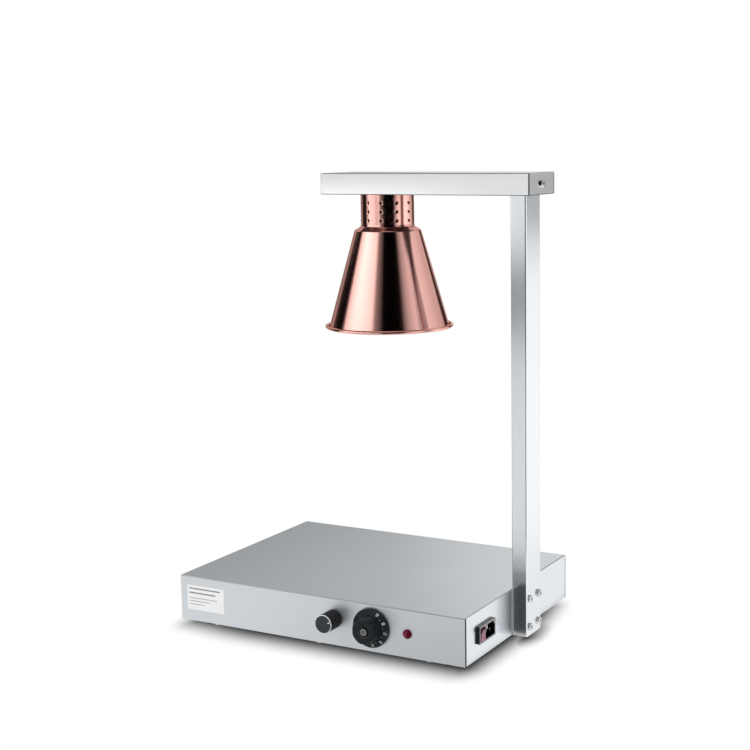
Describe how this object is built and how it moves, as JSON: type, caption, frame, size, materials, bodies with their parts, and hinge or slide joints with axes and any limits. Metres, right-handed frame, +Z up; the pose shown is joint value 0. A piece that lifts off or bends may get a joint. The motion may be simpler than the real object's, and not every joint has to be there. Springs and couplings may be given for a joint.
{
  "type": "food heat lamp",
  "caption": "Countertop food heat lamp: heated stainless base with front dimmer and thermostat knobs, a square side post and an arm that holds a copper lamp shade over the plate.",
  "frame": {"origin": "on the floor under the feet, in the middle of the whole footprint, knobs and arm end included", "axes": "+Z up along the post, +X to the right towards the post as seen from the knobs, +Y from the knobs to the back"},
  "size_m": [0.4336, 0.3148, 0.5612],
  "materials": {
    "stainless": "fine brushed stainless sheet",
    "plain_steel": "plain satin sheet",
    "bright_screws": "polished stainless",
    "zinc_fasteners": "zinc plated",
    "copper": "polished copper with fine spinning lines",
    "black_rubber": "matt black rubber",
    "knob_black": "black, fine knurl on the side",
    "dial_black": "satin black moulding",
    "ruby_lens": "clear ruby lens",
    "black_plastic": "black moulding",
    "inlet_black": "glossy black moulding",
    "contact_metal": "nickel plated brass",
    "rocker_red": "clear red moulding",
    "board_green": "circuit board with solder mask",
    "bare_aluminium": "bare",
    "mica": "mica sheet with element",
    "mineral_wool": "pressed mineral wool",
    "white_ceramic": "steatite, unglazed",
    "wire_sleeve": "heat resistant sleeve",
    "cable_jacket": "silicone jacket",
    "capillary_copper": "drawn copper",
    "bulb_glass": "frosted glass with a silvered neck"
  },
  "bodies": {
    "stand": {"base_cover": "stainless", "post_tube": "stainless", "arm_cover": "stainless", "bottom_plate": "plain_steel", "arm_tray": "plain_steel", "heater_pan": "plain_steel", "post_nut_plate": "plain_steel", "post_top_plate": "plain_steel", "post_spacers": "plain_steel", "sensor_clips": "plain_steel", "post_screws": "bright_screws", "arm_end_screw": "bright_screws", "cover_screws": "zinc_fasteners", "foot_screws": "zinc_fasteners", "heater_studs": "zinc_fasteners", "arm_bolts": "zinc_fasteners", "neck_screws": "zinc_fasteners", "shade_screws": "zinc_fasteners", "holder_screws": "zinc_fasteners", "thermostat_screws": "zinc_fasteners", "dimmer_nut": "zinc_fasteners", "lamp_neck": "copper", "lamp_shade": "copper", "foot_front_left": "black_rubber", "foot_front_right": "black_rubber", "foot_rear_left": "black_rubber", "foot_rear_right": "black_rubber", "cable_grommet": "black_rubber", "arm_grommet": "black_rubber", "pilot_lens": "ruby_lens", "pilot_body": "black_plastic", "pilot_nut": "black_plastic", "post_plug": "black_plastic", "dimmer_pot": "black_plastic", "thermostat_body": "black_plastic", "inlet_housing": "inlet_black", "inlet_pins": "contact_metal", "holder_shell": "contact_metal", "holder_contact": "contact_metal", "dimmer_board": "board_green", "dimmer_heat_sink": "bare_aluminium", "bulb_cap": "bare_aluminium", "heater_mat": "mica", "heater_insulation": "mineral_wool", "lampholder": "white_ceramic", "terminal_block": "white_ceramic", "mains_wires": "wire_sleeve", "heater_wires": "wire_sleeve", "dimmer_wire": "wire_sleeve", "pilot_wires": "wire_sleeve", "lamp_cable": "cable_jacket", "sensor_bulb": "capillary_copper", "bulb_glass": "bulb_glass"},
    "dimmer_control": {"dimmer_knob": "knob_black", "dimmer_shaft": "zinc_fasteners"},
    "thermostat_control": {"thermostat_dial": "dial_black", "thermostat_spindle": "zinc_fasteners"},
    "switch_rocker": {"rocker": "rocker_red"}
  },
  "joints": [
    {"name": "dimmer_turn", "type": "hinge", "parent": "stand", "child": "dimmer_control", "pos_m": [0.0092, -0.1326, 0.0407], "axis": [0, 1, 0], "range_deg": [-220, 80]},
    {"name": "thermostat_turn", "type": "hinge", "parent": "stand", "child": "thermostat_control", "pos_m": [0.0609, -0.1326, 0.0372], "axis": [0, 1, 0], "range_deg": [-150, 120]},
    {"name": "switch_rock", "type": "hinge", "parent": "stand", "child": "switch_rocker", "pos_m": [0.1836, -0.0941, 0.036], "axis": [0, -1, 0], "range_deg": [0, 16]}
  ]
}
